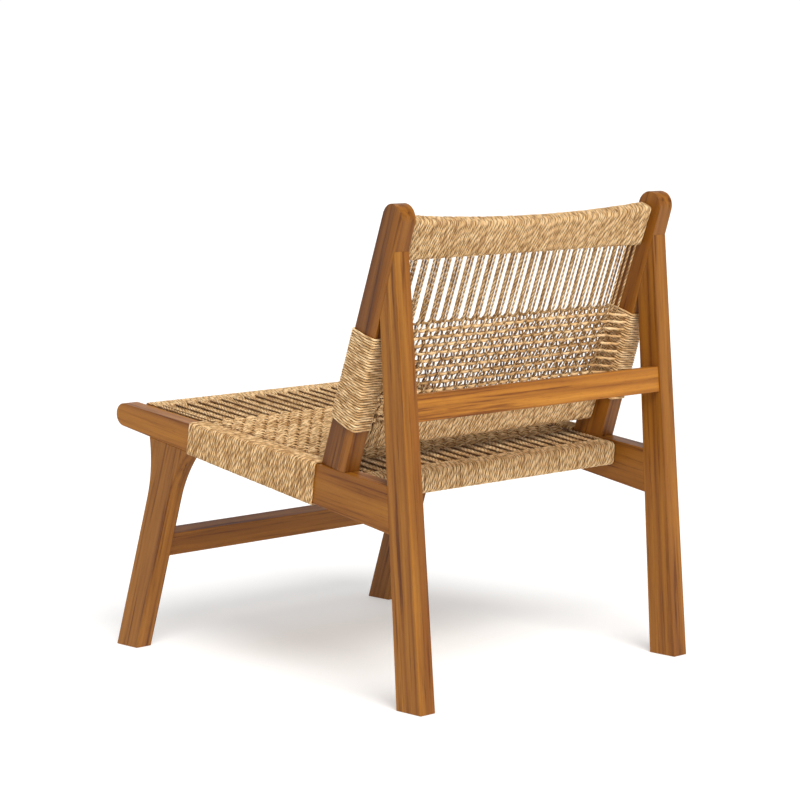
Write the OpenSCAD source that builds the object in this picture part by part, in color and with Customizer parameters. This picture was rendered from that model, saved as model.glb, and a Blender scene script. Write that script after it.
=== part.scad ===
// Low lounge chair without arms: a teak frame with a wound and woven rope seat and back.
// Millimetres. +Z is up, the chair faces -Y, and +X is the side of the sitter's left hand.
// The origin is on the floor, at the middle of the chair's outline.

/* [Overall] */
// Width over the two side frames, without the rope that stands out of them
frame_w = 600; // [500:1:720]
// Depth from the front of the front feet to the back of the rear feet
chair_d = 715; // [600:1:860]
// Height of the round heads of the back stiles
chair_h = 744; // [660:1:900]
// Height of the side rail's top at its front end
seat_h = 401; // [330:1:480]
// Thickness of every side frame piece, across the chair
frame_t = 30; // [22:0.5:45]

/* [Side rails] */
// How far the rail's front end stays behind the front of the front feet
nose_set = 8.5; // [0:0.5:30]
// Radius of the rail's round front end
nose_r = 18.5; // [12:0.5:26]
// Slope of the rail's top, down towards the back, in degrees
rail_rake = 6.4; // [0:0.1:12]
// Depth of the rail where it meets the rear leg
rail_rear_d = 71; // [45:0.5:95]

/* [Front legs] */
// Length of the foot on the floor
front_foot = 52; // [35:0.5:75]
// Lean of the leg, its foot being further forward, in degrees
front_lean = 18.5; // [5:0.1:25]
// Radius of the sculpted flare under the rail
flare_r = 210; // [120:1:400]
// How far below the rail's underside the flare starts
flare_drop = 91; // [50:1:130]

/* [Rear legs] */
// Length of the foot on the floor
rear_foot = 52; // [38:0.5:80]
// Lean of the leg's back edge, its foot being further back, in degrees
rear_back_lean = 4.4; // [2:0.1:10]
// Lean of the leg's front edge, in degrees
rear_front_lean = 3.1; // [1:0.1:10]

/* [Back stiles] */
// Lean of the stile's front edge and of the rope back, in degrees
back_lean = 20; // [12:0.1:28]
// Lean of the stile's back edge, which the rear leg is glued to, in degrees
stile_back_lean = 18; // [10:0.1:27]
// Radius of the stile's round head
head_r = 22.5; // [15:0.5:35]
// Drop from the top of the head to the shoulder where the rear leg ends
shoulder_drop = 69; // [50:1:110]
// Width of the flat strip left along the back of the stile's outer face
stile_land = 17; // [8:0.5:30]
// Slope of the wide bevel on the rest of the outer face, in degrees
bevel_angle = 10.5; // [2:0.1:16]

/* [Cross pieces] */
// Height of the front stretcher
stretcher_h = 40; // [25:0.5:60]
// Thickness of the front stretcher
stretcher_t = 25; // [16:0.5:35]
// Height of the stretcher's middle above the floor
stretcher_z = 176; // [120:1:230]
// Height of the cross rail between the rear legs
cross_h = 40; // [25:0.5:60]
// Thickness of the cross rail between the rear legs
cross_t = 22; // [14:0.5:32]
// Height of the cross rail's middle above the floor
cross_z = 446; // [380:1:500]
// How far the cross rail's back stays in front of the legs' back edges
cross_set = 3; // [0:0.5:10]

/* [Seat rails] */
// Height of the front and rear seat rails
seat_rail_h = 31; // [22:0.5:40]
// Thickness of the front and rear seat rails, front to back
seat_rail_t = 28; // [20:0.5:40]
// How far the front seat rail stays behind the side rail's front end
seat_front_set = 41; // [25:0.5:80]
// Distance from the rear seat rail to the rear leg
seat_rear_gap = 60; // [45:0.5:90]
// How far the rear seat rail's top is below the side rail's top
seat_rear_drop = 6; // [0:0.5:15]

/* [Back rails] */
// Thickness of the top and bottom back rails
back_rail_t = 20; // [15:0.5:26]
// Distance from the stile's front edge to the back rails
back_rail_set = 8; // [5:0.5:20]
// Height of the top back rail at its ends
top_rail_h = 60; // [40:0.5:80]
// How far the scooped top edge dips in the middle
top_scoop = 12; // [2:0.5:20]
// Distance along the lean from the top of the head to the top back rail
top_rail_drop = 24.5; // [18:0.5:50]
// Height of the bottom back rail
bottom_rail_h = 38; // [25:0.5:60]
// Distance along the lean from the side rail to the bottom back rail
bottom_rail_set = 36; // [20:0.5:60]

/* [Rope] */
// Diameter of the rope, which is the thickness of each rope layer
rope_d = 4; // [3:0.1:6]
// Gap between the front leg and the rope around the side rail
side_wrap_gap = 2; // [1:0.5:20]
// Gap along the lean between the rope around the bottom back rail and the rope around the stile
weave_gap = 2; // [0.5:0.5:20]
// Height of the see-through zone, where only the upright strands run
open_zone_h = 109; // [60:1:200]
// Gap between the rope layers and the wood or rope beside them
rope_gap = 0.3; // [0.1:0.1:1]

/* [Dowels] */
// Diameter of the dowels that hold the cross pieces
rail_dowel_d = 8; // [6:0.5:10]
// Length of the dowels that hold the cross pieces
rail_dowel_l = 40; // [30:1:60]
// How deep those dowels go into the side frame
rail_dowel_in = 18; // [12:0.5:24]
// Distance from a cross piece's edge to the nearest dowel's middle
rail_dowel_inset = 9; // [7:0.5:14]
// Diameter of the dowels inside the side frames
frame_dowel_d = 10; // [8:0.5:12]
// Length of the dowels inside the side frames
frame_dowel_l = 44; // [30:1:56]
// Spacing of the two dowels in the top of the front leg
leg_dowel_pitch = 40; // [20:1:60]
// Spacing of the two dowels in the rear end of the side rail
rail_end_dowel_pitch = 34; // [16:1:50]
// Spacing of the two dowels under the back stile
stile_dowel_pitch = 28; // [16:1:40]
// Glue gap around each dowel
glue_gap = 0.1; // [0.05:0.05:0.3]
// Depth left for glue beyond each dowel's end
glue_end = 1; // [0.5:0.5:3]

/* [Hidden] */
$fn = 96;
half_w = frame_w / 2;
in_x = half_w - frame_t;
mid_x = half_w - frame_t / 2;
far = 2000;
arc_fn = 720;

// The piece to draw, or all of them

// Side view points are [s, z]: s runs back from the front of the front feet, and z is up.
// A direction is given by its lean, the angle back from upright.
function lean_dir(a) = [sin(a), cos(a)];
function rake_dir(a) = [cos(a), -sin(a)];
function back_of(a) = [cos(a), -sin(a)];
function cross2(a, b) = a[0] * b[1] - a[1] * b[0];
function meet(p, u, q, v) = p + u * cross2(q - p, v) / cross2(u, v);
function at_z(p, u, z) = p + u * (z - p[1]) / u[1];
function at_s(p, u, s) = p + u * (s - p[0]) / u[0];
// Where the line from p along unit vector u leaves a circle, side 1 being the far crossing
function ring_meet(p, u, c, r, side) =
  let (along = (c - p) * u, off = cross2(u, c - p))
  p + u * (along + side * sqrt(r * r - off * off));

// Rear leg edges
heel = [chair_d, 0];
rear_toe = [chair_d - rear_foot, 0];
leg_back_dir = lean_dir(-rear_back_lean);
leg_front_dir = lean_dir(-rear_front_lean);

// Back stile edges: the back edge starts at the shoulder, and the head is tangent to both edges
shoulder = at_z(heel, leg_back_dir, chair_h - shoulder_drop);
stile_back_dir = lean_dir(stile_back_lean);
stile_front_dir = lean_dir(back_lean);
head_z = chair_h - head_r;
head_c = at_z(shoulder - head_r * back_of(stile_back_lean), stile_back_dir, head_z);
stile_front_p = head_c - head_r * back_of(back_lean);
stile_back_p = head_c + head_r * back_of(stile_back_lean);
scarf_end = meet(rear_toe, leg_front_dir, shoulder, stile_back_dir);

// Side rail edges: the round front end is tangent to both
nose_c = [nose_set + nose_r, seat_h - nose_r];
rail_dir = rake_dir(rail_rake);
rail_top_p = nose_c + nose_r * [sin(rail_rake), cos(rail_rake)];
rail_top_end = meet(rail_top_p, rail_dir, rear_toe, leg_front_dir);
rail_low_end = at_z(rear_toe, leg_front_dir, rail_top_end[1] - rail_rear_d);
nose_to_end = rail_low_end - nose_c;
under_rake = atan2(-nose_to_end[1], nose_to_end[0]) - asin(nose_r / norm(nose_to_end));
under_dir = rake_dir(under_rake);
under_p = nose_c - nose_r * [sin(under_rake), cos(under_rake)];

// Front leg edges and the circles that shape its flare
leg_dir = lean_dir(front_lean);
foot_back = [front_foot, 0];
leg_top = meet(foot_back / 2, leg_dir, under_p, under_dir);
flare_z = leg_top[1] - flare_drop;
flare_front = at_z([0, 0], leg_dir, flare_z);
flare_back = at_z(foot_back, leg_dir, flare_z);
front_ring = flare_front - flare_r * back_of(front_lean);
back_ring = flare_back + flare_r * back_of(front_lean);
leg_front_tip = ring_meet(under_p, under_dir, front_ring, flare_r, 1);
leg_back_tip = ring_meet(under_p, under_dir, back_ring, flare_r, -1);

// Back frame: v runs up along the lean from the stile's front base, and n runs back from it
stile_base_front = meet(stile_front_p, stile_front_dir, rail_top_p, rail_dir);
stile_base_back = meet(shoulder, stile_back_dir, rail_top_p, rail_dir);
back_n = back_of(back_lean);
head_v = (head_c - stile_base_front) * stile_front_dir + head_r;
top_rail_v1 = head_v - top_rail_drop;
top_rail_v0 = top_rail_v1 - top_rail_h;
bottom_rail_v1 = bottom_rail_set + bottom_rail_h;
weave_v0 = bottom_rail_v1 + rope_d + weave_gap;
weave_v1 = top_rail_v0 - rope_d - open_zone_h;
back_rail_n1 = back_rail_set + back_rail_t;
scoop_r = (in_x * in_x + top_scoop * top_scoop) / (2 * top_scoop);
scoop_v = top_rail_v1 - top_scoop + scoop_r;

// Seat frame: u runs back along the seat from the front rail's top edge, and w runs up from it
seat_p0 = at_s(rail_top_p, rail_dir, nose_set + seat_front_set);
rear_rail_s = at_z(rear_toe, leg_front_dir, rail_top_end[1])[0] - seat_rear_gap;
seat_p1 = at_s(rail_top_p, rail_dir, rear_rail_s) - [0, seat_rear_drop];
seat_len = norm(seat_p1 - seat_p0);
seat_u = (seat_p1 - seat_p0) / seat_len;
seat_w = [-seat_u[1], seat_u[0]];

// Rope around the side rail: its two ends are square to the rail's middle line
wrap_n = lean_dir((rail_rake + under_rake) / 2);
side_wrap_p0 = leg_back_tip + side_wrap_gap * under_dir;
side_wrap_p1 = stile_base_front - rope_gap * rail_dir;

// Stretcher and cross rail middles, and the directions of their heights
stretcher_c = at_z(foot_back / 2, leg_dir, stretcher_z);
cross_c = at_z(heel, leg_back_dir, cross_z) - (cross_set + cross_t / 2) * back_of(-rear_back_lean);

// Dowels across the chair: the two in each end of each cross piece, as side view points
function dowel_pair(c, dir, h) = [c + (h / 2 - rail_dowel_inset) * dir, c - (h / 2 - rail_dowel_inset) * dir];
function seat_rail_mid(u) = seat_p0 + u * seat_u - seat_rail_h / 2 * seat_w;
function back_rail_mid(v) =
  stile_base_front + v * stile_front_dir + (back_rail_set + back_rail_t / 2) * back_n;
stretcher_dowels = dowel_pair(stretcher_c, leg_dir, stretcher_h);
cross_dowels = dowel_pair(cross_c, leg_back_dir, cross_h);
seat_front_dowels = dowel_pair(seat_rail_mid(seat_rail_t / 2), seat_w, seat_rail_h);
seat_rear_dowels = dowel_pair(seat_rail_mid(seat_len - seat_rail_t / 2), seat_w, seat_rail_h);
top_dowels = dowel_pair(back_rail_mid((top_rail_v0 + top_rail_v1) / 2), stile_front_dir, top_rail_h);
bottom_dowels = dowel_pair(back_rail_mid(bottom_rail_v1 - bottom_rail_h / 2), stile_front_dir, bottom_rail_h);

// Dowels inside a side frame, as [side view point, direction]
rail_end_mid = (rail_top_end + rail_low_end) / 2;
stile_base_mid = (stile_base_front + stile_base_back) / 2;
rail_axis = back_of((rail_rake + under_rake) / 2);
stile_axis = lean_dir((back_lean + stile_back_lean) / 2);
leg_top_dowels = [for (k = [-1, 1]) [leg_top + k * leg_dowel_pitch / 2 * under_dir, leg_dir]];
rail_end_dowels = [for (k = [-1, 1]) [rail_end_mid + k * rail_end_dowel_pitch / 2 * leg_front_dir, rail_axis]];
stile_dowels = [for (k = [-1, 1]) [stile_base_mid + k * stile_dowel_pitch / 2 * rail_dir, stile_axis]];

// A side view outline made solid between two positions across the chair
module across(x0, x1) {
  translate([x0, -chair_d / 2, 0])
    rotate([90, 0, 90])
      linear_extrude(x1 - x0)
        children();
}

// A rectangle in a tilted frame: origin o, unit vectors a and b
module tilted_box(o, a, b, a0, a1, b0, b1) {
  polygon([o + a0 * a + b0 * b, o + a1 * a + b0 * b, o + a1 * a + b1 * b, o + a0 * a + b1 * b]);
}

module seat_box(u0, u1, w0, w1) {
  tilted_box(seat_p0, seat_u, seat_w, u0, u1, w0, w1);
}

module back_box(v0, v1, n0, n1) {
  tilted_box(stile_base_front, stile_front_dir, back_n, v0, v1, n0, n1);
}

// The other side of the chair
module other_side() {
  mirror([1, 0, 0])
    children();
}

// Bores across the chair, in one end of a cross piece or in a side frame
module cross_bores(points) {
  for (p = points)
    translate([in_x - rail_dowel_l + rail_dowel_in - glue_end, p[0] - chair_d / 2, p[1]])
      rotate([0, 90, 0])
        cylinder(d = rail_dowel_d + 2 * glue_gap, h = rail_dowel_l + 2 * glue_end);
}

module both_ends_bores(points) {
  cross_bores(points);
  other_side()
    cross_bores(points);
}

// A round bar centred on each given point of a side frame, along its direction
module frame_bars(list, d, l) {
  for (b = list)
    translate([mid_x, b[0][0] - chair_d / 2, b[0][1]])
      rotate([atan2(-b[1][0], b[1][1]), 0, 0])
        cylinder(d = d, h = l, center = true);
}

module frame_bores(list) {
  frame_bars(list, frame_dowel_d + 2 * glue_gap, frame_dowel_l + 2 * glue_end);
}

// The side rail from the side: a bar that runs on past its nose, less all that is outside the nose's circle
module rail_outline() {
  past = 2 * nose_r;
  difference() {
    polygon([rail_top_p - past * rail_dir, rail_top_end, rail_low_end, under_p - past * under_dir]);
    difference() {
      polygon([
        rail_top_p, under_p,
        under_p - (past + nose_r) * under_dir, rail_top_p - (past + nose_r) * rail_dir
      ]);
      translate(nose_c)
        circle(r = nose_r);
    }
  }
}

module side_rail() {
  color([0.60, 0.39, 0.20])
    difference() {
      across(in_x, half_w)
        rail_outline();
      cross_bores(concat(seat_front_dowels, seat_rear_dowels));
      frame_bores(concat(leg_top_dowels, rail_end_dowels, stile_dowels));
    }
}

module front_leg() {
  color([0.58, 0.37, 0.19])
    difference() {
      across(in_x, half_w)
        difference() {
          polygon([[0, 0], flare_front, leg_front_tip, leg_back_tip, flare_back, foot_back]);
          translate(front_ring)
            circle(r = flare_r, $fn = arc_fn);
          translate(back_ring)
            circle(r = flare_r, $fn = arc_fn);
        }
      cross_bores(stretcher_dowels);
      frame_bores(leg_top_dowels);
    }
}

module rear_leg() {
  color([0.63, 0.41, 0.21])
    difference() {
      across(in_x, half_w)
        polygon([rear_toe, heel, shoulder, scarf_end]);
      cross_bores(cross_dowels);
      frame_bores(rail_end_dowels);
    }
}

// What the wide bevel takes off the outer face, moved out by grow
module bevel_cut(grow) {
  edge = shoulder - stile_land * back_of(stile_back_lean);
  start = grow * (1 / cos(bevel_angle) - 1) / tan(bevel_angle);
  reach = chair_d / 4;
  low_x = half_w + grow / cos(bevel_angle) - reach * tan(bevel_angle);
  translate([0, edge[0] - chair_d / 2, edge[1]])
    rotate([-stile_back_lean, 0, 0])
      rotate([0, 0, -90])
        linear_extrude(far, center = true)
          polygon([[start, half_w + grow], [reach, low_x], [reach, half_w + grow]]);
}

module back_stile() {
  color([0.57, 0.36, 0.19])
    difference() {
      across(in_x, half_w) {
        translate(head_c)
          circle(r = head_r);
        polygon([stile_base_front, stile_base_back, stile_back_p, head_c, stile_front_p]);
      }
      bevel_cut(0);
      cross_bores(concat(top_dowels, bottom_dowels));
      frame_bores(stile_dowels);
    }
}

module front_stretcher() {
  color([0.55, 0.36, 0.18])
    difference() {
      across(-in_x, in_x)
        tilted_box(
          stretcher_c, leg_dir, back_of(front_lean),
          -stretcher_h / 2, stretcher_h / 2, -stretcher_t / 2, stretcher_t / 2
        );
      both_ends_bores(stretcher_dowels);
    }
}

module back_cross_rail() {
  color([0.68, 0.45, 0.23])
    difference() {
      across(-in_x, in_x)
        tilted_box(
          cross_c, leg_back_dir, back_of(-rear_back_lean),
          -cross_h / 2, cross_h / 2, -cross_t / 2, cross_t / 2
        );
      both_ends_bores(cross_dowels);
    }
}

module seat_rail(u0, dowels) {
  color([0.60, 0.40, 0.21])
    difference() {
      across(-in_x, in_x)
        seat_box(u0, u0 + seat_rail_t, -seat_rail_h, 0);
      both_ends_bores(dowels);
    }
}

// The scoop in the top back rail, its radius less grow
module scoop(grow) {
  p = stile_base_front + scoop_v * stile_front_dir;
  translate([0, p[0] - chair_d / 2, p[1]])
    rotate([-90 - back_lean, 0, 0])
      cylinder(r = scoop_r - grow, h = chair_d / 2, center = true, $fn = arc_fn);
}

module back_top_rail() {
  color([0.60, 0.40, 0.21])
    difference() {
      across(-in_x, in_x)
        back_box(top_rail_v0, top_rail_v1, back_rail_set, back_rail_n1);
      scoop(0);
      both_ends_bores(top_dowels);
    }
}

module back_bottom_rail() {
  color([0.60, 0.40, 0.21])
    difference() {
      across(-in_x, in_x)
        back_box(bottom_rail_set, bottom_rail_v1, back_rail_set, back_rail_n1);
      both_ends_bores(bottom_dowels);
    }
}

module cross_dowel_end(points) {
  for (p = points)
    translate([in_x - rail_dowel_l + rail_dowel_in, p[0] - chair_d / 2, p[1]])
      rotate([0, 90, 0])
        cylinder(d = rail_dowel_d, h = rail_dowel_l);
}

module rail_dowels() {
  all_points = concat(
    stretcher_dowels, cross_dowels, seat_front_dowels, seat_rear_dowels, top_dowels, bottom_dowels
  );
  color([0.80, 0.66, 0.45]) {
    cross_dowel_end(all_points);
    other_side()
      cross_dowel_end(all_points);
  }
}

module frame_dowels() {
  all_bars = concat(leg_top_dowels, rail_end_dowels, stile_dowels);
  color([0.80, 0.66, 0.45]) {
    frame_bars(all_bars, frame_dowel_d, frame_dowel_l);
    other_side()
      frame_bars(all_bars, frame_dowel_d, frame_dowel_l);
  }
}

// Rope wound around the middle of a side rail
module side_wrap() {
  top_p = rail_top_p + rope_d * [sin(rail_rake), cos(rail_rake)];
  low_p = under_p - rope_d * [sin(under_rake), cos(under_rake)];
  color([0.80, 0.65, 0.45])
    difference() {
      across(in_x - rope_d, half_w + rope_d)
        polygon([
          meet(side_wrap_p0, wrap_n, top_p, rail_dir),
          meet(side_wrap_p1, wrap_n, top_p, rail_dir),
          meet(side_wrap_p1, wrap_n, low_p, under_dir),
          meet(side_wrap_p0, wrap_n, low_p, under_dir)
        ]);
      across(in_x, half_w)
        rail_outline();
    }
}

// Rope wound around a seat rail
module seat_rail_wrap(u0) {
  color([0.80, 0.65, 0.45])
    across(-in_x + rope_gap, in_x - rope_gap)
      difference() {
        seat_box(u0 - rope_d, u0 + seat_rail_t + rope_d, -seat_rail_h - rope_d, rope_d);
        seat_box(u0, u0 + seat_rail_t, -seat_rail_h, 0);
      }
}

// One layer of the woven seat, its underside at height w
module seat_deck(w) {
  margin = seat_rail_t + rope_d + rope_gap;
  color([0.82, 0.68, 0.48])
    across(-in_x + rope_d + rope_gap, in_x - rope_d - rope_gap)
      seat_box(margin, seat_len - margin, w, w + rope_d);
}

// Rope wound around a back stile between the two edges of the weave
module stile_wrap() {
  front_p = stile_front_p - rope_d * back_n;
  back_p = stile_back_p + rope_d * back_of(stile_back_lean);
  low_p = stile_base_front + weave_v0 * stile_front_dir;
  high_p = stile_base_front + weave_v1 * stile_front_dir;
  color([0.80, 0.65, 0.45])
    difference() {
      across(in_x - rope_d, half_w + rope_d)
        polygon([
          meet(low_p, back_n, front_p, stile_front_dir),
          meet(low_p, back_n, back_p, stile_back_dir),
          meet(high_p, back_n, back_p, stile_back_dir),
          meet(high_p, back_n, front_p, stile_front_dir)
        ]);
      bevel_cut(rope_d);
      difference() {
        across(in_x, half_w)
          polygon([stile_base_front, stile_base_back, stile_back_p, stile_front_p]);
        bevel_cut(0);
      }
    }
}

// Rope wound around the top back rail, following its scoop
module back_wrap_top() {
  color([0.80, 0.65, 0.45])
    difference() {
      across(-in_x + rope_gap, in_x - rope_gap)
        back_box(
          top_rail_v0 - rope_d, top_rail_v1 + 2 * rope_d,
          back_rail_set - rope_d, back_rail_n1 + rope_d
        );
      scoop(rope_d);
      difference() {
        across(-in_x, in_x)
          back_box(top_rail_v0, top_rail_v1, back_rail_set, back_rail_n1);
        scoop(0);
      }
    }
}

// Rope wound around the bottom back rail
module back_wrap_bottom() {
  color([0.80, 0.65, 0.45])
    across(-in_x + rope_gap, in_x - rope_gap)
      difference() {
        back_box(
          bottom_rail_set - rope_d, bottom_rail_v1 + rope_d,
          back_rail_set - rope_d, back_rail_n1 + rope_d
        );
        back_box(bottom_rail_set, bottom_rail_v1, back_rail_set, back_rail_n1);
      }
}

// One layer of the back's strands and weave, its front at distance n
module back_panel(n) {
  color([0.82, 0.68, 0.48])
    across(-in_x + rope_d + rope_gap, in_x - rope_d - rope_gap)
      back_box(
        bottom_rail_v1 + rope_d + rope_gap, top_rail_v0 - rope_d - rope_gap,
        n, n + rope_d
      );
}

side_rail();  // side_rail_left
other_side() side_rail();  // side_rail_right
front_leg();  // front_leg_left
other_side() front_leg();  // front_leg_right
rear_leg();  // rear_leg_left
other_side() rear_leg();  // rear_leg_right
back_stile();  // back_stile_left
other_side() back_stile();  // back_stile_right
front_stretcher();
back_cross_rail();
seat_rail(0, seat_front_dowels);  // seat_front_rail
seat_rail(seat_len - seat_rail_t, seat_rear_dowels);  // seat_rear_rail
back_top_rail();
back_bottom_rail();
rail_dowels();
frame_dowels();
side_wrap();  // seat_wrap_left
other_side() side_wrap();  // seat_wrap_right
seat_rail_wrap(0);  // seat_wrap_front
seat_rail_wrap(seat_len - seat_rail_t);  // seat_wrap_rear
seat_deck(0);  // seat_deck_top
seat_deck(-seat_rail_h - rope_d);  // seat_deck_under
stile_wrap();  // back_wrap_left
other_side() stile_wrap();  // back_wrap_right
back_wrap_top();
back_wrap_bottom();
back_panel(back_rail_set - rope_d);  // back_panel_front
back_panel(back_rail_n1);  // back_panel_rear
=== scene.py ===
import math

import bpy
import numpy as np
from mathutils import Matrix, Vector


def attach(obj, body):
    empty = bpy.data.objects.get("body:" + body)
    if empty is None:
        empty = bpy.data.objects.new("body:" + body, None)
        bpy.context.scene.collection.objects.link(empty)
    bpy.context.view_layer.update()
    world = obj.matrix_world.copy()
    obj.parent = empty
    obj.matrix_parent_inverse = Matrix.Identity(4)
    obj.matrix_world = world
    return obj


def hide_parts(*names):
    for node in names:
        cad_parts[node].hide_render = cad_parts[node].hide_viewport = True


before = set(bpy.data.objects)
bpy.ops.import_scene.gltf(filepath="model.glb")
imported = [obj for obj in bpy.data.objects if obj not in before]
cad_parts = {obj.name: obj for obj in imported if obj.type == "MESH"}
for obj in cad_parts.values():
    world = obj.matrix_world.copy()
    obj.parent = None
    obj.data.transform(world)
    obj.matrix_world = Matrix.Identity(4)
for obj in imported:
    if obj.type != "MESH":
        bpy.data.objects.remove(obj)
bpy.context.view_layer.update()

MM = 0.001

# ---------------------------------------------------------------- sizes, as in part.scad, in millimetres
FRAME_W, CHAIR_D, CHAIR_H, SEAT_H, FRAME_T = 600, 715, 744, 401, 30
NOSE_SET, NOSE_R, RAIL_RAKE, RAIL_REAR_D = 8.5, 18.5, 6.4, 71
FRONT_FOOT, FRONT_LEAN, FLARE_R, FLARE_DROP = 52, 18.5, 210, 91
REAR_FOOT, REAR_BACK_LEAN, REAR_FRONT_LEAN = 52, 4.4, 3.1
BACK_LEAN, STILE_BACK_LEAN, HEAD_R, SHOULDER_DROP = 20, 18, 22.5, 69
STILE_LAND, BEVEL_ANGLE = 17, 10.5
SEAT_RAIL_H, SEAT_RAIL_T, SEAT_FRONT_SET, SEAT_REAR_GAP, SEAT_REAR_DROP = 31, 28, 41, 60, 6
BACK_RAIL_T, BACK_RAIL_SET, TOP_RAIL_H, TOP_SCOOP, TOP_RAIL_DROP = 20, 8, 60, 12, 24.5
BOTTOM_RAIL_H, BOTTOM_RAIL_SET = 38, 36
ROPE_D, SIDE_WRAP_GAP, WEAVE_GAP, OPEN_ZONE_H = 4, 2, 2, 109

HALF_W = FRAME_W / 2
IN_X = HALF_W - FRAME_T
ROPE_R = ROPE_D / 2

# Rope details: what the CAD leaves out
ROPE_PITCH = 4.0          # from one turn to the next
PLY_PITCH = 28.0          # length over which a ply goes once round the rope
STILE_PLY_PITCH = 46.0    # the same, where the rope is pulled tight round the stiles
TWIST_WANDER = 7.0        # how far the twist runs ahead or behind along a rope
RING = 8                  # points round the rope
SEG = 2.5                 # length of a rope segment
SEG_UNDER = 3.6           # the same, under the seat
TURN_R, STILE_TURN_R = 1.76, 1.82   # radius of a wound turn, a little under half the pitch so the turns part
# The turns round the stiles rise towards the rear: by this share of their height, over this depth
STILE_RISE, STILE_RISE_DEPTH = 0.03, 60
CRISP_R, CORNER_R, ROUND_R = 2.8, 4.5, 5.5   # how the rope's middle rounds a wooden edge
WARP_PITCH = 11.85        # back: from one upright strand to the next
WARPS = 44                # back: upright strands in a layer
WARP_R, WEFT_R = 1.9, 2.45  # back: radius of the upright and of the cross strands
# Back: how far each strand leans to its partner, at the top, just above the weave and in it,
# in the rear layer (1) and the front one (-1)
PAIR_PULL = {1: (0.4, 1.6, 1.6), -1: (3.0, 3.8, -0.6)}
WEFT_PITCH = 12.8         # back: from one cross strand to the next
WEFTS = 12                # back: cross strands in a layer
WEFT_START = 2.8          # back: the lowest cross strand above the weave's lower edge
BAND_PITCH, BAND_SHIFT = 24.5, 5.5           # seat: from one band of strands to the next, and the middle one
BAND_ROPES, BAND_STEP = 4, 3.7               # seat: strands in a band, and from one to the next
SEAT_WEFT_PITCH = 3.2     # seat: from one cross strand to the next
SEAT_WEFT_GROUP = 4       # seat: cross strands that go over and under together
WARP_SWAY, WEFT_SWAY, SEAT_SWAY = 1.35, 2.15, 2.3   # how far a strand swings to pass over or under another
FADE_IN, FADE = 8, 12     # back: the sway starts this far outside the weave and is full after this length
FRONT_BEND, REAR_BEND = 14, 44    # back: length over which a cross strand turns in to the stile
SEAT_REACH_IN, SEAT_SIDE_SINK = 1, 12   # seat: the last strand's gap to the frame, and where the edge dips
CRESCENT_PITCH = 32       # seat: from one crescent of the seam beside the side wraps, where the cross strands dip lower and shade is painted, to the next
# The seat's height over the lower front corner of a side wrap; the weave starts level with the wrap
SIDE_WRAP_START_H = 34


# ---------------------------------------------------------------- side view geometry, [s, z] in millimetres
def lean_dir(a):
    return np.array([math.sin(math.radians(a)), math.cos(math.radians(a))])


def rake_dir(a):
    return np.array([math.cos(math.radians(a)), -math.sin(math.radians(a))])


def cross2(a, b):
    return a[0] * b[1] - a[1] * b[0]


def meet(p, u, q, v):
    return p + u * cross2(q - p, v) / cross2(u, v)


def at_z(p, u, z):
    return p + u * (z - p[1]) / u[1]


def at_s(p, u, s):
    return p + u * (s - p[0]) / u[0]


heel = np.array([CHAIR_D, 0.0])
rear_toe = np.array([CHAIR_D - REAR_FOOT, 0.0])
leg_back_dir, leg_front_dir = lean_dir(-REAR_BACK_LEAN), lean_dir(-REAR_FRONT_LEAN)
shoulder = at_z(heel, leg_back_dir, CHAIR_H - SHOULDER_DROP)
stile_back_dir, stile_front_dir = lean_dir(STILE_BACK_LEAN), lean_dir(BACK_LEAN)
head_c = at_z(shoulder - HEAD_R * rake_dir(STILE_BACK_LEAN), stile_back_dir, CHAIR_H - HEAD_R)
stile_front_p = head_c - HEAD_R * rake_dir(BACK_LEAN)

nose_c = np.array([NOSE_SET + NOSE_R, SEAT_H - NOSE_R])
rail_dir = rake_dir(RAIL_RAKE)
rail_top_p = nose_c + NOSE_R * lean_dir(RAIL_RAKE)
rail_top_end = meet(rail_top_p, rail_dir, rear_toe, leg_front_dir)
rail_low_end = at_z(rear_toe, leg_front_dir, rail_top_end[1] - RAIL_REAR_D)
nose_to_end = rail_low_end - nose_c
UNDER_RAKE = math.degrees(
    math.atan2(-nose_to_end[1], nose_to_end[0]) - math.asin(NOSE_R / np.linalg.norm(nose_to_end))
)
under_dir = rake_dir(UNDER_RAKE)
under_p = nose_c - NOSE_R * lean_dir(UNDER_RAKE)

leg_dir = lean_dir(FRONT_LEAN)
foot_back = np.array([FRONT_FOOT, 0.0])
leg_top = meet(foot_back / 2, leg_dir, under_p, under_dir)
flare_back = at_z(foot_back, leg_dir, leg_top[1] - FLARE_DROP)
back_ring = flare_back + FLARE_R * rake_dir(FRONT_LEAN)
along = (back_ring - under_p) @ under_dir
off = cross2(under_dir, back_ring - under_p)
leg_back_tip = under_p + under_dir * (along - math.sqrt(FLARE_R ** 2 - off ** 2))

stile_base_front = meet(stile_front_p, stile_front_dir, rail_top_p, rail_dir)
back_n = rake_dir(BACK_LEAN)
HEAD_V = (head_c - stile_base_front) @ stile_front_dir + HEAD_R
TOP_V1 = HEAD_V - TOP_RAIL_DROP
TOP_V0 = TOP_V1 - TOP_RAIL_H
BOTTOM_V1 = BOTTOM_RAIL_SET + BOTTOM_RAIL_H
WEAVE_V0 = BOTTOM_V1 + ROPE_D + WEAVE_GAP
WEAVE_V1 = TOP_V0 - ROPE_D - OPEN_ZONE_H
RAIL_N0, RAIL_N1 = BACK_RAIL_SET, BACK_RAIL_SET + BACK_RAIL_T
SCOOP_R = (IN_X ** 2 + TOP_SCOOP ** 2) / (2 * TOP_SCOOP)

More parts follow.
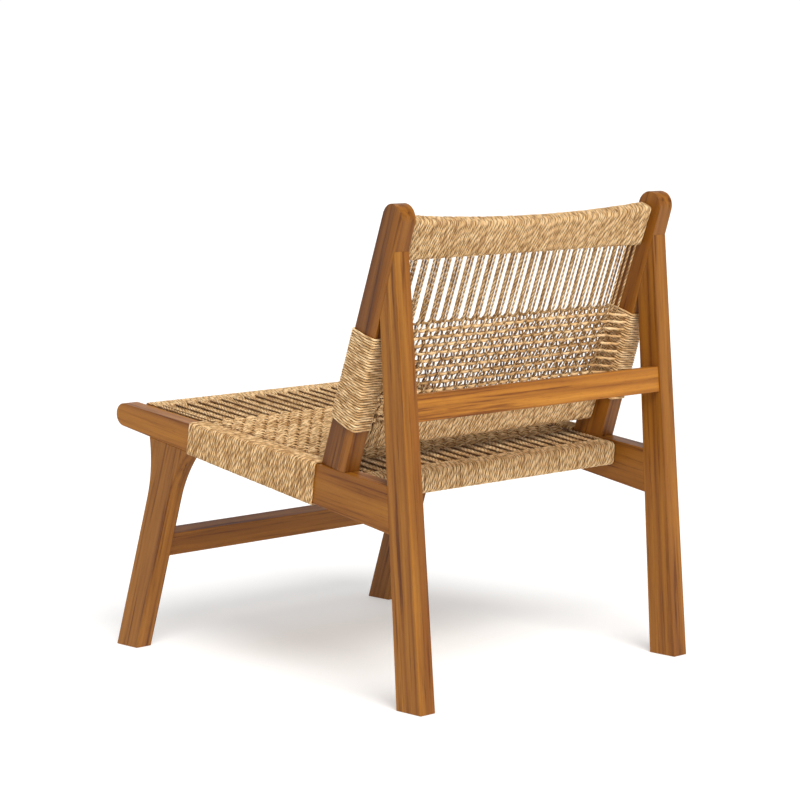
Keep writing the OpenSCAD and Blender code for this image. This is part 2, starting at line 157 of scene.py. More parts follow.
seat_p0 = at_s(rail_top_p, rail_dir, NOSE_SET + SEAT_FRONT_SET)
rear_rail_s = at_z(rear_toe, leg_front_dir, rail_top_end[1])[0] - SEAT_REAR_GAP
seat_p1 = at_s(rail_top_p, rail_dir, rear_rail_s) - np.array([0.0, SEAT_REAR_DROP])
SEAT_LEN = float(np.linalg.norm(seat_p1 - seat_p0))
seat_u = (seat_p1 - seat_p0) / SEAT_LEN
seat_w = np.array([-seat_u[1], seat_u[0]])

WRAP_RAKE = (RAIL_RAKE + UNDER_RAKE) / 2
wrap_n, wrap_dir = lean_dir(WRAP_RAKE), rake_dir(WRAP_RAKE)
side_p0 = leg_back_tip + SIDE_WRAP_GAP * under_dir
side_p1 = stile_base_front


def space(x, s, z):
    """Side view points in millimetres, with their place across the chair, as points of the row frame."""
    return np.stack(np.broadcast_arrays(x, s - CHAIR_D / 2, z), -1) * MM


def plane_point(origin, a, b, x, p, q):
    """The point at p along a and q along b from origin, in the side view."""
    return space(x, origin[0] + p * a[0] + q * b[0], origin[1] + p * a[1] + q * b[1])


# ---------------------------------------------------------------- rope
rng = np.random.default_rng(11)
# The rope's outline: two plies, as angle, share of the radius, and painted shade in the groove between them
PLY_ANGLE = np.radians([0, 50, 90, 130, 180, 230, 270, 310])
PLY_RADIUS = np.array([1.0, 0.93, 0.58, 0.93, 1.0, 0.93, 0.58, 0.93])
PLY_CREASE_SHADE = np.array([0.0, 0.18, 1.0, 0.18, 0.0, 0.18, 1.0, 0.18])


def smooth_noise(n, step, amount):
    """n values that wander smoothly within about +-amount, a new one every step values."""
    knots = rng.uniform(-amount, amount, n // step + 3)
    return np.interp(np.arange(n) / step, np.arange(len(knots)), knots)


class Rope:
    """Twisted rope swept along paths, gathered into one mesh."""

    def __init__(self, tone=0.0):
        self.verts, self.faces, self.deep, self.tone = [], [], [], []
        self.count = 0
        self.mean_tone = tone

    def add(
        self, path, ref, radius=TURN_R, pitch=PLY_PITCH, depth=0.85, lobes=1.0, shade_side=0, dark=0.0,
    ):
        """Sweep a rope along path. ref is a direction that the outline's first axis keeps to.
        depth is how much shade is painted into the creases, and lobes how deep they are. shade_side paints
        shade on the side towards ref (1) or the side away from it (-1), and dark is painted shade added all
        round."""
        path = np.asarray(path, float)
        n = len(path)
        step = np.linalg.norm(np.diff(path, axis=0), axis=1)
        run = np.concatenate([[0], np.cumsum(step)]) / MM
        tangent = np.gradient(path, axis=0)
        tangent /= np.linalg.norm(tangent, axis=1)[:, None]
        ref = np.broadcast_to(np.asarray(ref, float), path.shape)
        n1 = ref - (ref * tangent).sum(1)[:, None] * tangent
        n1 /= np.linalg.norm(n1, axis=1)[:, None]
        n2 = np.cross(tangent, n1)
        twist = 2 * math.pi * (run + smooth_noise(n, 30, TWIST_WANDER)) / pitch
        twist = twist + rng.uniform(0, 2 * math.pi)
        size = radius * MM * (1 + smooth_noise(n, 9, 0.05))
        ang = twist[:, None] + PLY_ANGLE[None, :]
        rad = size[:, None] * (1 - lobes * (1 - PLY_RADIUS[None, :]))
        ring = (
            path[:, None, :]
            + (rad * np.cos(ang))[..., None] * n1[:, None, :]
            + (rad * np.sin(ang))[..., None] * n2[:, None, :]
        )
        i = np.arange(n - 1)[:, None] * RING
        j = np.arange(RING)[None, :]
        k = (j + 1) % RING
        quads = np.stack([i + j, i + k, i + RING + k, i + RING + j], -1).reshape(-1, 4)
        caps = np.array([[3, 2, 1, 0], [7, 6, 5, 4], [4, 3, 0, 7]])
        last = (n - 1) * RING
        ends = np.concatenate([caps, last + caps[:, ::-1]])
        self.verts.append(ring.reshape(-1, 3))
        self.faces.append(np.concatenate([quads, ends]) + self.count)
        # Painted shade: one side darkened as shade_side asks, dark added all round, on top of the painted
        # shade in the ply creases
        facing = np.clip(shade_side * np.cos(ang) * 1.6, 0, 1) * (0.8 + smooth_noise(n, 3, 0.4))[:, None]
        shade = facing + np.broadcast_to(dark, n)[:, None]
        self.deep.append(np.clip(PLY_CREASE_SHADE[None, :] * depth + shade, 0, 1).ravel())
        tone = self.mean_tone + rng.uniform(-0.25, 0.25) + smooth_noise(n, 4, 0.75)
        self.tone.append(np.repeat(tone, RING))
        self.count += n * RING

    def make(self, name, material, *nodes):
        verts = np.concatenate(self.verts)
        faces = np.concatenate(self.faces)
        mesh = bpy.data.meshes.new(name)
        mesh.vertices.add(len(verts))
        mesh.vertices.foreach_set("co", verts.astype(np.float32).ravel())
        mesh.loops.add(faces.size)
        mesh.loops.foreach_set("vertex_index", faces.astype(np.int32).ravel())
        mesh.polygons.add(len(faces))
        mesh.polygons.foreach_set("loop_start", np.arange(0, faces.size, 4, dtype=np.int32))
        mesh.polygons.foreach_set("use_smooth", np.ones(len(faces), bool))
        mesh.update(calc_edges=True)
        mesh.validate()
        # The deep attribute holds painted shade; tone holds each strand's colour, with each wrap's painted
        # light and shade
        for key, values in (("deep", self.deep), ("tone", self.tone)):
            layer = mesh.attributes.new(key, "FLOAT", "POINT")
            layer.data.foreach_set("value", np.concatenate(values).astype(np.float32))
        mesh.materials.append(material)
        piece = bpy.data.objects.new(name, mesh)
        bpy.context.scene.collection.objects.link(piece)
        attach(piece, "root")
        if nodes:
            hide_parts(*nodes)
        return piece


def rounded_loop(corners, radius):
    """Points evenly spaced round a convex outline with rounded corners, anticlockwise, as the corners run."""
    corners = np.asarray(corners, float)
    n = len(corners)
    pts = []
    for i in range(n):
        p, a, b = corners[i], corners[i - 1] - corners[i], corners[(i + 1) % n] - corners[i]
        a, b = a / np.linalg.norm(a), b / np.linalg.norm(b)
        half = math.acos(max(-1, min(1, a @ b))) / 2
        back = radius / math.tan(half)
        centre = p + (a + b) / np.linalg.norm(a + b) * radius / math.sin(half)
        p0, p1 = p + a * back, p + b * back
        v0, v1 = p0 - centre, p1 - centre
        turn = math.pi - 2 * half
        for t in np.linspace(0, 1, 5):
            s = math.sin(turn)
            pts.append(centre + v0 * math.sin((1 - t) * turn) / s + v1 * math.sin(t * turn) / s)
    pts = np.array(pts + [pts[0]])
    run = np.concatenate([[0], np.cumsum(np.linalg.norm(np.diff(pts, axis=0), axis=1))])
    count = max(12, int(round(run[-1] / SEG)))
    at = np.arange(count) / count * run[-1]
    return np.interp(at, run, pts[:, 0]), np.interp(at, run, pts[:, 1])


def box_corners(a0, a1, b0, b1):
    return [(a0, b0), (a1, b0), (a1, b1), (a0, b1)]


def wind(rope, length, corners_at, place, ref, corner=CORNER_R, wander=0.5, **how):
    """One rope wound round and round. corners_at gives the outline at a distance along the wrap, and
    place turns a distance along and a point of the outline into a point in space."""
    turns = int(length / ROPE_PITCH)
    pitch = length / turns
    path = []
    for i in range(turns):
        t = (i + 0.5) * pitch
        a, b = rounded_loop(corners_at(t), corner)
        n = len(a)
        go = (i + np.arange(n) / n) * pitch + smooth_noise(n, 5, wander)
        swell = 1 + smooth_noise(n, 20, 0.0015)
        path.append(place(go, a * swell, b))
    rope.add(np.concatenate(path), ref, **how)


# ---------------------------------------------------------------- materials
def node_tree(name):
    mat = bpy.data.materials.new(name)
    mat.use_nodes = True
    tree = mat.node_tree
    tree.nodes.clear()
    out = tree.nodes.new("ShaderNodeOutputMaterial")
    bsdf = tree.nodes.new("ShaderNodeBsdfPrincipled")
    tree.links.new(bsdf.outputs[0], out.inputs[0])
    return mat, tree, bsdf


def ramp(tree, fac, stops):
    r = tree.nodes.new("ShaderNodeValToRGB")
    e = r.color_ramp.elements
    while len(e) < len(stops):
        e.new(0.5)
    for el, (pos, col) in zip(e, stops):
        el.position = pos
        el.color = (*col, 1) if len(col) == 3 else col
    tree.links.new(fac, r.inputs[0])
    return r.outputs[0]


def mix(tree, kind, fac, a, b):
    m = tree.nodes.new("ShaderNodeMix")
    m.data_type = "RGBA"
    m.blend_type = kind
    for sock, v in ((m.inputs[0], fac), (m.inputs[6], a), (m.inputs[7], b)):
        if hasattr(v, "links"):
            tree.links.new(v, sock)
        elif isinstance(v, (int, float)):
            sock.default_value = v
        else:
            sock.default_value = (*v, 1)
    return m.outputs[2]


def noise(tree, vec, scale, detail=3.0, rough=0.5, distortion=0.0):
    n = tree.nodes.new("ShaderNodeTexNoise")
    n.inputs["Scale"].default_value = scale
    n.inputs["Detail"].default_value = detail
    n.inputs["Roughness"].default_value = rough
    n.inputs["Distortion"].default_value = distortion
    tree.links.new(vec, n.inputs["Vector"])
    return n.outputs[0]


def mapping(tree, vec, loc=(0, 0, 0), rot=(0, 0, 0), scale=(1, 1, 1)):
    m = tree.nodes.new("ShaderNodeMapping")
    m.inputs["Location"].default_value = loc
    m.inputs["Rotation"].default_value = rot
    m.inputs["Scale"].default_value = scale
    tree.links.new(vec, m.inputs["Vector"])
    return m.outputs[0]


def bump(tree, height, strength, distance, normal=None):
    b = tree.nodes.new("ShaderNodeBump")
    b.inputs["Strength"].default_value = strength
    b.inputs["Distance"].default_value = distance
    tree.links.new(height, b.inputs["Height"])
    if normal is not None:
        tree.links.new(normal, b.inputs["Normal"])
    return b.outputs[0]


def teak(name, lean=None, shift=(0, 0, 0), tint=(1, 1, 1), across=None, facing=None):
    """Oiled teak. lean is the grain's lean back from upright, in degrees; None runs it across the chair.
    across gives (place, colour) stops over the piece's own width, where one side of it is darker.
    facing gives a direction, and (slope, colour) stops of painted shade and light for the faces that turn
    towards it."""
    mat, tree, bsdf = node_tree(name)
    coord = tree.nodes.new("ShaderNodeTexCoord").outputs["Object"]
    rot = (math.radians(lean), 0, 0) if lean is not None else (0, math.radians(-90), 0)
    grain = mapping(tree, coord, rot=rot)
    wave = tree.nodes.new("ShaderNodeTexWave")
    wave.wave_type = "RINGS"
    wave.rings_direction = "Z"
    wave.inputs["Scale"].default_value = 17
    wave.inputs["Distortion"].default_value = 4.0
    wave.inputs["Detail"].default_value = 2.5
    wave.inputs["Detail Scale"].default_value = 0.8
    wave.inputs["Detail Roughness"].default_value = 0.55
    heart = (shift[0] + 0.11, shift[1] + 0.07, shift[2])
    tree.links.new(mapping(tree, grain, loc=heart, scale=(1, 1, 0.06)), wave.inputs["Vector"])
    streak = noise(tree, mapping(tree, grain, loc=shift, scale=(1, 1, 0.03)), 150, 4, 0.6)
    patch = noise(tree, mapping(tree, grain, loc=shift, scale=(1, 1, 0.12)), 14, 3, 0.55)
    pores = noise(tree, mapping(tree, grain, loc=shift, scale=(1, 1, 0.07)), 1150, 2, 0.5)

    def c(r, g, b):
        return r * tint[0], g * tint[1], b * tint[2]

    rings = ramp(tree, wave.outputs[1], [
        (0.0, c(0.150, 0.047, 0.004)), (0.22, c(0.245, 0.088, 0.008)), (1.0, c(0.330, 0.132, 0.014)),
    ])
    patches = ramp(tree, patch, [
        (0.32, c(0.185, 0.060, 0.005)), (0.50, c(0.285, 0.106, 0.011)), (0.68, c(0.390, 0.166, 0.022)),
    ])
    base = mix(tree, "MIX", 0.55, rings, patches)
    lines = ramp(tree, streak, [
        (0.34, (0.46, 0.36, 0.28)), (0.43, (0.88, 0.84, 0.80)),
        (0.52, (1.02, 1.02, 1.02)), (0.72, (1.16, 1.19, 1.22)),
    ])
    base = mix(tree, "MULTIPLY", 1.0, base, lines)
    specks = ramp(tree, pores, [(0.26, (0.62, 0.54, 0.47)), (0.42, (1, 1, 1))])
    base = mix(tree, "MULTIPLY", 0.6, base, specks)
    if across:
        split = tree.nodes.new("ShaderNodeSeparateXYZ")
        tree.links.new(coord, split.inputs[0])
        width = tree.nodes.new("ShaderNodeMapRange")
        width.inputs["From Min"].default_value = IN_X * MM
        width.inputs["From Max"].default_value = HALF_W * MM
        tree.links.new(split.outputs[0], width.inputs["Value"])
        base = mix(tree, "MULTIPLY", 1.0, base, ramp(tree, width.outputs[0], across))
    # Painted shade and light, by the way a face turns
    if facing:
        turned = tree.nodes.new("ShaderNodeVectorMath")
        turned.operation = "DOT_PRODUCT"
        turned.inputs[1].default_value = facing[0]
        tree.links.new(tree.nodes.new("ShaderNodeNewGeometry").outputs["True Normal"], turned.inputs[0])
        slope = tree.nodes.new("ShaderNodeMapRange")
        slope.inputs["From Min"].default_value = -1
        slope.inputs["From Max"].default_value = 1
        tree.links.new(turned.outputs["Value"], slope.inputs["Value"])
        base = mix(tree, "MULTIPLY", 1.0, base, ramp(tree, slope.outputs[0], facing[1]))
    tree.links.new(base, bsdf.inputs["Base Color"])
    gloss = ramp(tree, streak, [(0.3, (0.55,) * 3), (0.7, (0.44,) * 3)])
    tree.links.new(gloss, bsdf.inputs["Roughness"])
    bsdf.inputs["Specular IOR Level"].default_value = 0.24
    bsdf.inputs["Coat Weight"].default_value = 0.04
    bsdf.inputs["Coat Roughness"].default_value = 0.35
    tree.links.new(bump(tree, pores, 0.25, 0.0003, bump(tree, streak, 0.18, 0.0004)), bsdf.inputs["Normal"])
    return mat


def rope_material(name):
    """Twisted paper cord: pale ply crowns, painted shade in the creases, and fine fibres."""
    mat, tree, bsdf = node_tree(name)
    coord = tree.nodes.new("ShaderNodeTexCoord").outputs["Object"]

    def attribute(key):
        a = tree.nodes.new("ShaderNodeAttribute")
        a.attribute_name = key
        return a.outputs["Fac"]

    tone = attribute("tone")
    shade = tree.nodes.new("ShaderNodeMapRange")
    shade.inputs["From Min"].default_value = -0.6
    shade.inputs["From Max"].default_value = 0.6
    tree.links.new(tone, shade.inputs["Value"])
    crown = ramp(tree, shade.outputs[0], [
        (0.05, (0.520, 0.298, 0.115)), (0.5, (0.800, 0.520, 0.245)), (0.95, (0.930, 0.670, 0.370)),
    ])
    fibre = noise(tree, coord, 1500, 3, 0.6)
    fine = ramp(tree, fibre, [
        (0.28, (0.66, 0.60, 0.52)), (0.52, (1.0, 1.0, 1.0)), (0.75, (1.10, 1.12, 1.14)),
    ])
    crown = mix(tree, "MULTIPLY", 0.9, crown, fine)
    mottle = noise(tree, coord, 60, 3, 0.6)
    worn = ramp(tree, mottle, [(0.32, (0.86, 0.82, 0.76)), (0.6, (1.04, 1.04, 1.04))])
    crown = mix(tree, "MULTIPLY", 0.8, crown, worn)
    # The deep attribute is painted shade: it mixes the colour towards dark brown in the ply creases, on the
    # band sides by the seat's slits, in the seam beside the side wraps and where strands pass under others
    painted_shade = ramp(tree, attribute("deep"), [(0.12, (0, 0, 0)), (0.85, (1, 1, 1))])
    base = mix(tree, "MIX", painted_shade, crown, (0.150, 0.068, 0.019))
    tree.links.new(base, bsdf.inputs["Base Color"])
    bsdf.inputs["Roughness"].default_value = 0.72
    bsdf.inputs["Specular IOR Level"].default_value = 0.25
    bsdf.inputs["Sheen Weight"].default_value = 0.12
    bsdf.inputs["Sheen Roughness"].default_value = 0.5
    tree.links.new(bump(tree, fibre, 0.35, 0.0004), bsdf.inputs["Normal"])
    return mat


ROPE_MAT = rope_material("rope_cord")
RAIL_LEAN = 90 + WRAP_RAKE
# Each wooden piece: the grain's lean, where it is cut from the log, and its tint
# The tints are partly the timber's own colour and partly painted light and shade: the far side rail, which
# lies in shade, is painted darker than the near one.
WOOD = {
    "side_rail_left": (RAIL_LEAN, (0.31, 0.12, 0.40), (1.10, 1.08, 1.0)),
    "side_rail_right": (RAIL_LEAN, (1.23, 0.42, 2.10), (0.85, 0.82, 0.80)),
    "front_leg_left": (FRONT_LEAN, (2.10, 0.77, 0.20), (0.96, 0.95, 0.93)),
    "front_leg_right": (FRONT_LEAN, (3.37, 1.12, 1.60), (0.98, 0.98, 1.0)),
    "rear_leg_left": (-4, (0.83, 2.12, 0.95), (1.08, 1.07, 1.0)),
    "rear_leg_right": (-4, (1.93, 3.32, 2.45), (1.0, 0.98, 0.96)),
    "back_stile_left": (19, (2.71, 1.52, 0.33), (0.90, 0.85, 0.82)),
    "back_stile_right": (19, (3.17, 2.52, 1.33), (0.92, 0.88, 0.85)),
    "front_stretcher": (None, (0.57, 3.12, 1.13), (0.95, 0.93, 0.90)),
    "back_cross_rail": (None, (4.03, 0.35, 0.58), (1.35, 1.32, 1.25)),
    "seat_front_rail": (None, (1.13, 1.92, 0.73), (1, 1, 1)),
    "seat_rear_rail": (None, (2.43, 0.62, 1.83), (1, 1, 1)),
    "back_top_rail": (None, (3.73, 2.22, 0.13), (1, 1, 1)),
    "back_bottom_rail": (None, (0.93, 1.42, 2.73), (1, 1, 1)),
    "rail_dowels": (None, (1.7, 0.3, 0.9), (1.35, 1.75, 2.6)),
    "frame_dowels": (RAIL_LEAN, (2.7, 1.3, 0.4), (1.35, 1.75, 2.6)),
}
WOOD_EDGE, DOWEL_EDGE = 1.1, 0.4    # width of the softened edges
SHARP, STILE_SHARP = 38, 10.2       # edges that turn by more than this many degrees are softened
# A darker strip along the inner side of the left rear leg
ACROSS_LEG = [
    (0.0, (0.74, 0.64, 0.55)), (0.45, (0.80, 0.71, 0.62)),
    (0.62, (1.08, 1.12, 1.16)), (1.0, (1.02, 1.02, 1.02)),
]
# Painted shade on the stile's bevelled face, which turns a little away from the light, a little painted shade
# on its front face, and slightly lighter painted sides. A place on this ramp is 0.5 for a face at right
# angles to
# STILE_FRONT, and 1 for a face turned fully towards it
STILE_FRONT = (0.0, -float(back_n[0]), -float(back_n[1]))
BEVEL_SHADE = [
    (0.0, (1, 1, 1)), (0.53, (1.08, 1.08, 1.08)), (0.57, (0.74, 0.68, 0.34)),
    (0.66, (0.74, 0.68, 0.34)), (0.75, (0.9, 0.88, 0.78)),
]
for node_name, (lean, shift, tint) in WOOD.items():
    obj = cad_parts[node_name]
    across = ACROSS_LEG if node_name == "rear_leg_left" else None
    facing = (STILE_FRONT, BEVEL_SHADE) if "stile" in node_name else None
    mat = teak("teak_" + node_name, lean, shift, tint, across, facing)
    obj.data.materials.clear()
    obj.data.materials.append(mat)
    weld = obj.modifiers.new("weld", "WELD")
    weld.merge_threshold = 0.00002
    flat = obj.modifiers.new("flat", "DECIMATE")
    flat.decimate_type = "DISSOLVE"
    flat.angle_limit = math.radians(0.3)
    soft = obj.modifiers.new("soft_edges", "BEVEL")
    soft.width = (DOWEL_EDGE if "dowels" in node_name else WOOD_EDGE) * MM
    soft.segments = 3
    soft.limit_method = "ANGLE"
    soft.angle_limit = math.radians(STILE_SHARP if "stile" in node_name else SHARP)
    soft.use_clamp_overlap = False
    soft.miter_outer = "MITER_ARC"
    weighted = obj.modifiers.new("normals", "WEIGHTED_NORMAL")
    weighted.keep_sharp = False

# ---------------------------------------------------------------- wound rope
ACROSS = (1.0, 0.0, 0.0)


def side_wrap(sign):
    # The side wraps' darker mean tone is painted shade, as they face the light
    rope = Rope(tone=-0.35)
    along = np.array([0.0, wrap_dir[0], wrap_dir[1]])
    length = float((side_p1 - side_p0) @ wrap_dir)

    def outline(t):
        p = side_p0 + t * wrap_dir
        high = (meet(p, wrap_n, rail_top_p, rail_dir) - p) @ wrap_n
        low = (meet(p, wrap_n, under_p, under_dir) - p) @ wrap_n
        return box_corners(IN_X - ROPE_R, HALF_W + ROPE_R, low - ROPE_R, high + ROPE_R)

    def place(t, x, h):
        return plane_point(side_p0, wrap_dir, wrap_n, sign * x, t, h)

    wind(rope, length - ROPE_R, outline, place, along, corner=CRISP_R)
    return rope


def stile_wrap(sign):
    rope = Rope(tone=0.15)
    along = np.array([0.0, stile_front_dir[0], stile_front_dir[1]])
    land_p = shoulder - STILE_LAND * rake_dir(STILE_BACK_LEAN)

    def outline(t):
        p = stile_base_front + (WEAVE_V0 + t) * stile_front_dir
        deep = (meet(p, back_n, shoulder, stile_back_dir) - p) @ back_n
        land = (meet(p, back_n, land_p, stile_back_dir) - p) @ back_n
        cut = land * math.tan(math.radians(BEVEL_ANGLE))
        r = ROPE_R
        return [
            (IN_X - r, -r), (HALF_W - cut + r * 0.82, -r), (HALF_W + r, land - r * 0.1),
            (HALF_W + r, deep + r), (IN_X - r, deep + r),
        ]

    def place(t, x, n):
        v = WEAVE_V0 + t * (1 - STILE_RISE + STILE_RISE * np.clip(n / STILE_RISE_DEPTH, 0, 1))
        return plane_point(stile_base_front, stile_front_dir, back_n, sign * x, v, n)

    wind(
        rope, WEAVE_V1 - WEAVE_V0, outline, place, along,
        corner=CRISP_R, wander=0.22, radius=STILE_TURN_R, pitch=STILE_PLY_PITCH, lobes=0.45, depth=0.6,
    )
    return rope


def seat_rail_wrap(u0, corner):
    rope = Rope(tone=0.2)

    def outline(t):
        return box_corners(u0 - ROPE_R, u0 + SEAT_RAIL_T + ROPE_R, -SEAT_RAIL_H - ROPE_R, ROPE_R)

    def place(t, u, w):
        return plane_point(seat_p0, seat_u, seat_w, t - IN_X + ROPE_R, u, w)

    wind(rope, 2 * IN_X - ROPE_D, outline, place, ACROSS, corner=corner)
    return rope


def top_edge(x):
    """Height along the lean of the scooped top edge, at a place across the chair."""
    return TOP_V1 - TOP_SCOOP + SCOOP_R - np.sqrt(SCOOP_R ** 2 - np.asarray(x, float) ** 2)


def back_rail_wrap(v0, v1_at, wander, tone):
    rope = Rope(tone)

    def outline(t):
        x = t - IN_X + ROPE_R
        return box_corners(v0 - ROPE_R, float(v1_at(x)) + ROPE_R, RAIL_N0 - ROPE_R, RAIL_N1 + ROPE_R)

    def place(t, v, n):
        return plane_point(stile_base_front, stile_front_dir, back_n, t - IN_X + ROPE_R, v, n)

    wind(rope, 2 * IN_X - ROPE_D, outline, place, ACROSS, wander=wander)
    return rope


# Each wrap's mean tone is painted light and shade: set lighter or darker to even out how much light the wrap
# gets
side_wrap(1).make("rope_side_left", ROPE_MAT, "seat_wrap_left")
side_wrap(-1).make("rope_side_right", ROPE_MAT, "seat_wrap_right")
stile_wrap(1).make("rope_stile_left", ROPE_MAT, "back_wrap_left")
stile_wrap(-1).make("rope_stile_right", ROPE_MAT, "back_wrap_right")
seat_rail_wrap(0, CORNER_R).make("rope_seat_front", ROPE_MAT, "seat_wrap_front")
seat_rail_wrap(SEAT_LEN - SEAT_RAIL_T, ROUND_R).make("rope_seat_rear", ROPE_MAT, "seat_wrap_rear")
back_rail_wrap(TOP_V0, top_edge, 0.5, -0.05).make("rope_back_top", ROPE_MAT, "back_wrap_top")
# The bottom wrap's lighter mean tone is painted light, as it lies in shade
bottom_wrap = back_rail_wrap(BOTTOM_RAIL_SET, lambda x: BOTTOM_V1, 0.9, 0.35)
bottom_wrap.make("rope_back_bottom", ROPE_MAT, "back_wrap_bottom")


# ---------------------------------------------------------------- back panel
def ease(t):
    t = np.clip(t, 0, 1)
    return t * t * (3 - 2 * t)


def back_panel(n_mid, outward):
    """One layer of the back. outward is -1 for the front layer and 1 for the rear one."""
    rope = Rope()
    k = np.arange(WARPS)
    warp_x = (k - (WARPS - 1) / 2) * WARP_PITCH
    toward = np.where(k % 2, 1.0, -1.0)
    toward[[0, -1]] = 0
    pull_top, pull_low, pull_weave = PAIR_PULL[outward]
    first = WEAVE_V0 + WEFT_START
    last = first + (WEFTS - 1) * WEFT_PITCH
    stile_deep = (meet(stile_base_front + first * stile_front_dir, back_n, shoulder, stile_back_dir)
                  - stile_base_front) @ back_n
    for i, x in enumerate(warp_x):
        v = np.arange(BOTTOM_V1 + 1, TOP_V0 + 1, SEG)
        inside = ease((v - first + FADE_IN) / FADE) * ease((last + FADE_IN - v) / FADE)
        sway = -WARP_SWAY * outward * inside * np.cos(math.pi * ((v - first) / WEFT_PITCH + i))
        low = np.clip((TOP_V0 - v) / (TOP_V0 - last), 0, 1)
        pull = toward[i] * ((pull_top + (pull_low - pull_top) * low) * (1 - inside) + pull_weave * inside)
        lean = 0.3 * smooth_noise(len(v), 30, 1.0)
        place = plane_point(stile_base_front, stile_front_dir, back_n, x + pull + lean, v, n_mid + sway)
        # Painted shade on the upright strands inside the weave
        rope.add(place, ACROSS, radius=WARP_R, pitch=17, depth=1.0, dark=0.12 * inside)
    end_n = -ROPE_R * 0.6 if outward < 0 else (n_mid + stile_deep) / 2
    bend = REAR_BEND if outward > 0 else FRONT_BEND
    for r in range(WEFTS):
        x = np.arange(-IN_X + 0.5, IN_X, SEG)
        phase = np.interp(x, warp_x, k, left=-0.4, right=WARPS - 0.6)
        over = np.cos(math.pi * (phase + r))
        sway = WEFT_SWAY * outward * over
        edge = ease((np.abs(x) - (IN_X - bend)) / bend)
        n = (n_mid + sway) * (1 - edge) + end_n * edge
        v = first + r * WEFT_PITCH + smooth_noise(len(x), 10, 0.5) + 0.5 * np.sin(x / 40 + r)
        place = plane_point(stile_base_front, stile_front_dir, back_n, x, v, n)
        # Painted shade on the cross strands where they sink into the weave behind the upright strands
        dark = 0.5 * np.clip(-over, 0, 1) * (1 - edge)
        rope.add(place, (0.0, stile_front_dir[0], stile_front_dir[1]), radius=WEFT_R, depth=0.2, dark=dark)
    return rope


back_panel(RAIL_N0 - ROPE_R, -1).make("rope_back_front", ROPE_MAT, "back_panel_front")
back_panel(RAIL_N1 + ROPE_R, 1).make("rope_back_rear", ROPE_MAT, "back_panel_rear")


# ---------------------------------------------------------------- seat
def seat_deck(w_mid, outward, seg):
    """One layer of the seat: bands of strands front to back, and cross strands woven through them."""
    rope = Rope()
    reach = IN_X - ROPE_R - SEAT_REACH_IN
    k = np.arange(-12, 13)
    band_x = BAND_SHIFT * outward + k * BAND_PITCH
    # Each strand's place, and the side on which shade is painted: the outer sides of a band, next to the
    # slits
    strands = [(bx + (j - (BAND_ROPES - 1) / 2) * BAND_STEP, j) for bx in band_x for j in range(BAND_ROPES)]
    strands = [
        (at, {0: -1, BAND_ROPES - 1: 1}.get(j, 0)) for at, j in strands if abs(at) < reach - 2 * BAND_STEP
    ]
    strands += [(side * (reach - n * BAND_STEP), side * (1 - 2 * n)) for side in (-1, 1) for n in (0, 1)]
    u_lo = ((side_p0 + SIDE_WRAP_START_H * wrap_n - seat_p0) @ seat_u) + 3
    u_hi = ((side_p1 - seat_p0) @ seat_u) - 3
    rows = int((u_hi - u_lo) / SEAT_WEFT_PITCH) + 1
    for at, side in strands:
        u = np.arange(SEAT_RAIL_T - 1, SEAT_LEN - SEAT_RAIL_T + 1, seg)
        x = at + smooth_noise(len(u), 6, 0.4)
        sink = ease((u - u_lo + 10) / 12) * ease((u_hi + 10 - u) / 12)
        w = w_mid + outward * (-0.9 * sink) + smooth_noise(len(u), 20, 0.12)
        place = plane_point(seat_p0, seat_u, seat_w, x, u, w)
        rope.add(place, ACROSS, radius=ROPE_R, pitch=15, depth=0.8, shade_side=side)
    for r in range(rows):
        x = np.arange(-IN_X + 2.5, IN_X - 2, seg)
        phase = (x - BAND_SHIFT * outward) / BAND_PITCH * 2 + r // SEAT_WEFT_GROUP
        edge = ease((np.abs(x) - (IN_X - SEAT_SIDE_SINK)) / 10)
        crescent = max(0.0, math.cos(2 * math.pi * r * SEAT_WEFT_PITCH / CRESCENT_PITCH))
        drop = 1.2 + 1.5 * crescent
        # Painted shade: a dark seam beside the side wraps, darker at each crescent, and shade on the cross
        # strands where they pass under the bands
        seam = ease((np.abs(x) - (IN_X - 17)) / 5) * (0.25 + 0.7 * crescent)
        over = np.cos(math.pi * phase)
        sway = SEAT_SWAY * over * (1 - edge) - drop * edge
        under = 0.35 * np.clip(-over, 0, 1) * (1 - edge)
        u = u_lo + r * SEAT_WEFT_PITCH + smooth_noise(len(x), 14, 0.3)
        w = w_mid + outward * sway
        place = plane_point(seat_p0, seat_u, seat_w, x, u, w)
        rope.add(place, (0.0, seat_u[0], seat_u[1]), radius=ROPE_R, dark=np.maximum(seam, under))
    return rope


seat_deck(ROPE_R, 1, SEG).make("rope_seat_top", ROPE_MAT, "seat_deck_top")
seat_deck(-SEAT_RAIL_H - ROPE_R, -1, SEG_UNDER).make("rope_seat_under", ROPE_MAT, "seat_deck_under")


# ---------------------------------------------------------------- floor, light and camera
FLOOR_REACH = 14                       # metres from the middle to the floor's edges
FLOOR_GREY, FLOOR_GLOW = 0.70, 0.36    # together the floor comes out white, with a soft shadow left
ROOM_LIGHT = 1.04


def sheet_mesh(name, verts, faces):
    mesh = bpy.data.meshes.new(name)
    mesh.from_pydata(verts, [], faces)
    mesh.polygons.foreach_set("use_smooth", [True] * len(faces))
    obj = bpy.data.objects.new(name, mesh)
    bpy.context.scene.collection.objects.link(obj)
    return obj


floor_mat, tree, bsdf = node_tree("floor_white")
bsdf.inputs["Base Color"].default_value = (FLOOR_GREY, FLOOR_GREY, FLOOR_GREY, 1)
bsdf.inputs["Roughness"].default_value = 0.8
bsdf.inputs["Specular IOR Level"].default_value = 0.0
bsdf.inputs["Emission Color"].default_value = (1, 1, 1, 1)
bsdf.inputs["Emission Strength"].default_value = FLOOR_GLOW
corners = [
    (-FLOOR_REACH, -FLOOR_REACH, 0), (FLOOR_REACH, -FLOOR_REACH, 0),
    (FLOOR_REACH, FLOOR_REACH, 0), (-FLOOR_REACH, FLOOR_REACH, 0),
]
floor = sheet_mesh("floor", corners, [(0, 1, 2, 3)])
floor.data.materials.append(floor_mat)

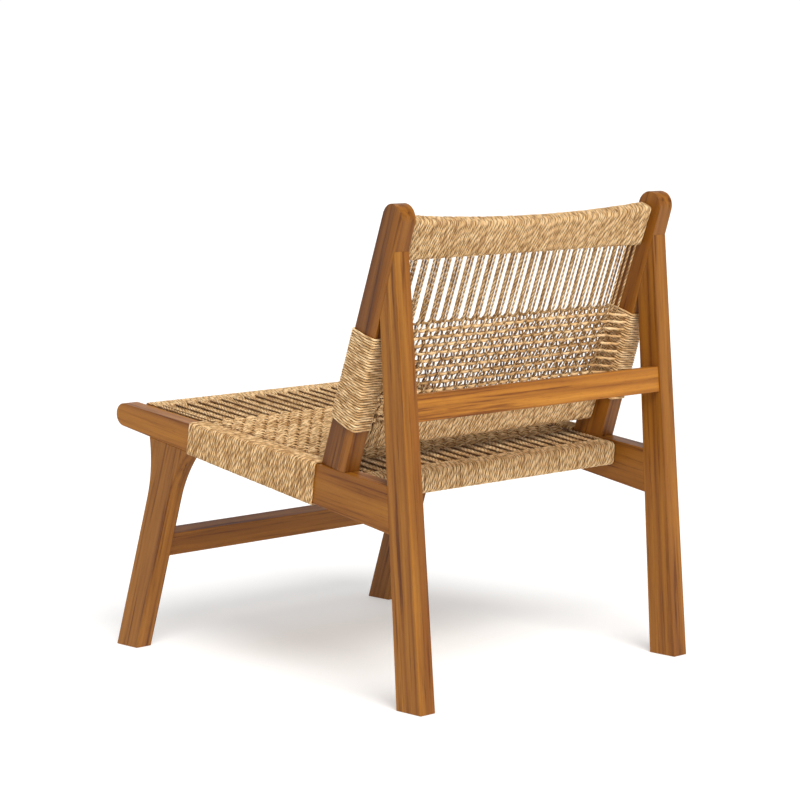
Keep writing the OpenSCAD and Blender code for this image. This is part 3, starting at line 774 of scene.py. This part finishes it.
# A white room up to a little above the horizon, and a dimmer ceiling
world = bpy.data.worlds.new("studio")
bpy.context.scene.world = world
world.use_nodes = True
tree = world.node_tree
direction = tree.nodes.new("ShaderNodeTexCoord").outputs["Generated"]
split = tree.nodes.new("ShaderNodeSeparateXYZ")
tree.links.new(direction, split.inputs[0])
sky = ramp(tree, split.outputs[2], [
    (0.0, (1, 1, 1)), (0.09, (1, 1, 1)), (0.24, (0.24, 0.24, 0.24)), (1.0, (0.34, 0.34, 0.34)),
])
tree.links.new(sky, tree.nodes["Background"].inputs[0])
tree.nodes["Background"].inputs[1].default_value = ROOM_LIGHT


def soft_sun(name, towards, energy, spread, colour=(1, 1, 1)):
    """An even, soft-edged light over the whole scene, shining along towards."""
    data = bpy.data.lights.new(name, "SUN")
    data.energy = energy
    data.angle = math.radians(spread)
    data.color = colour
    obj = bpy.data.objects.new(name, data)
    obj.rotation_mode = "QUATERNION"
    obj.rotation_quaternion = Vector(towards).to_track_quat("-Z", "Y")
    bpy.context.scene.collection.objects.link(obj)


soft_sun("key", (-0.46, -0.90, -1.13), 3.1, 32, (1.0, 0.985, 0.96))
soft_sun("fill", (0.60, 1.00, -0.80), 0.6, 60)

# The camera: fitted to the chair's own edges, then its lens and place adjusted to line up the outlines
VIEW_AZ, VIEW_EL, VIEW_ROLL = 136.0, 6.9, -0.2
SENSOR, LENS = 36, 119.0835            # millimetres
FITTED_PLACE = (2.93788, 3.04961, 0.91724)
MOVED_UP, MOVED_LEFT = 0.0036, 0.0013
cam_data = bpy.data.cameras.new("camera")
cam_data.sensor_width = SENSOR
cam_data.lens = LENS
cam_data.clip_end = 100
camera = bpy.data.objects.new("camera", cam_data)
bpy.context.scene.collection.objects.link(camera)
bpy.context.scene.camera = camera
a, e, r = (math.radians(v) for v in (VIEW_AZ, VIEW_EL, VIEW_ROLL))
back = Vector((math.sin(a) * math.cos(e), -math.cos(a) * math.cos(e), math.sin(e)))
right = (-back).cross(Vector((0, 0, 1))).normalized()
up = right.cross(-back)
cam_right = math.cos(r) * right + math.sin(r) * up
cam_up = -math.sin(r) * right + math.cos(r) * up
place = Vector(FITTED_PLACE) + MOVED_UP * cam_up - MOVED_LEFT * cam_right
camera.matrix_world = Matrix.Translation(place) @ Matrix((cam_right, cam_up, back)).transposed().to_4x4()
bpy.context.scene.view_settings.view_transform = "Standard"
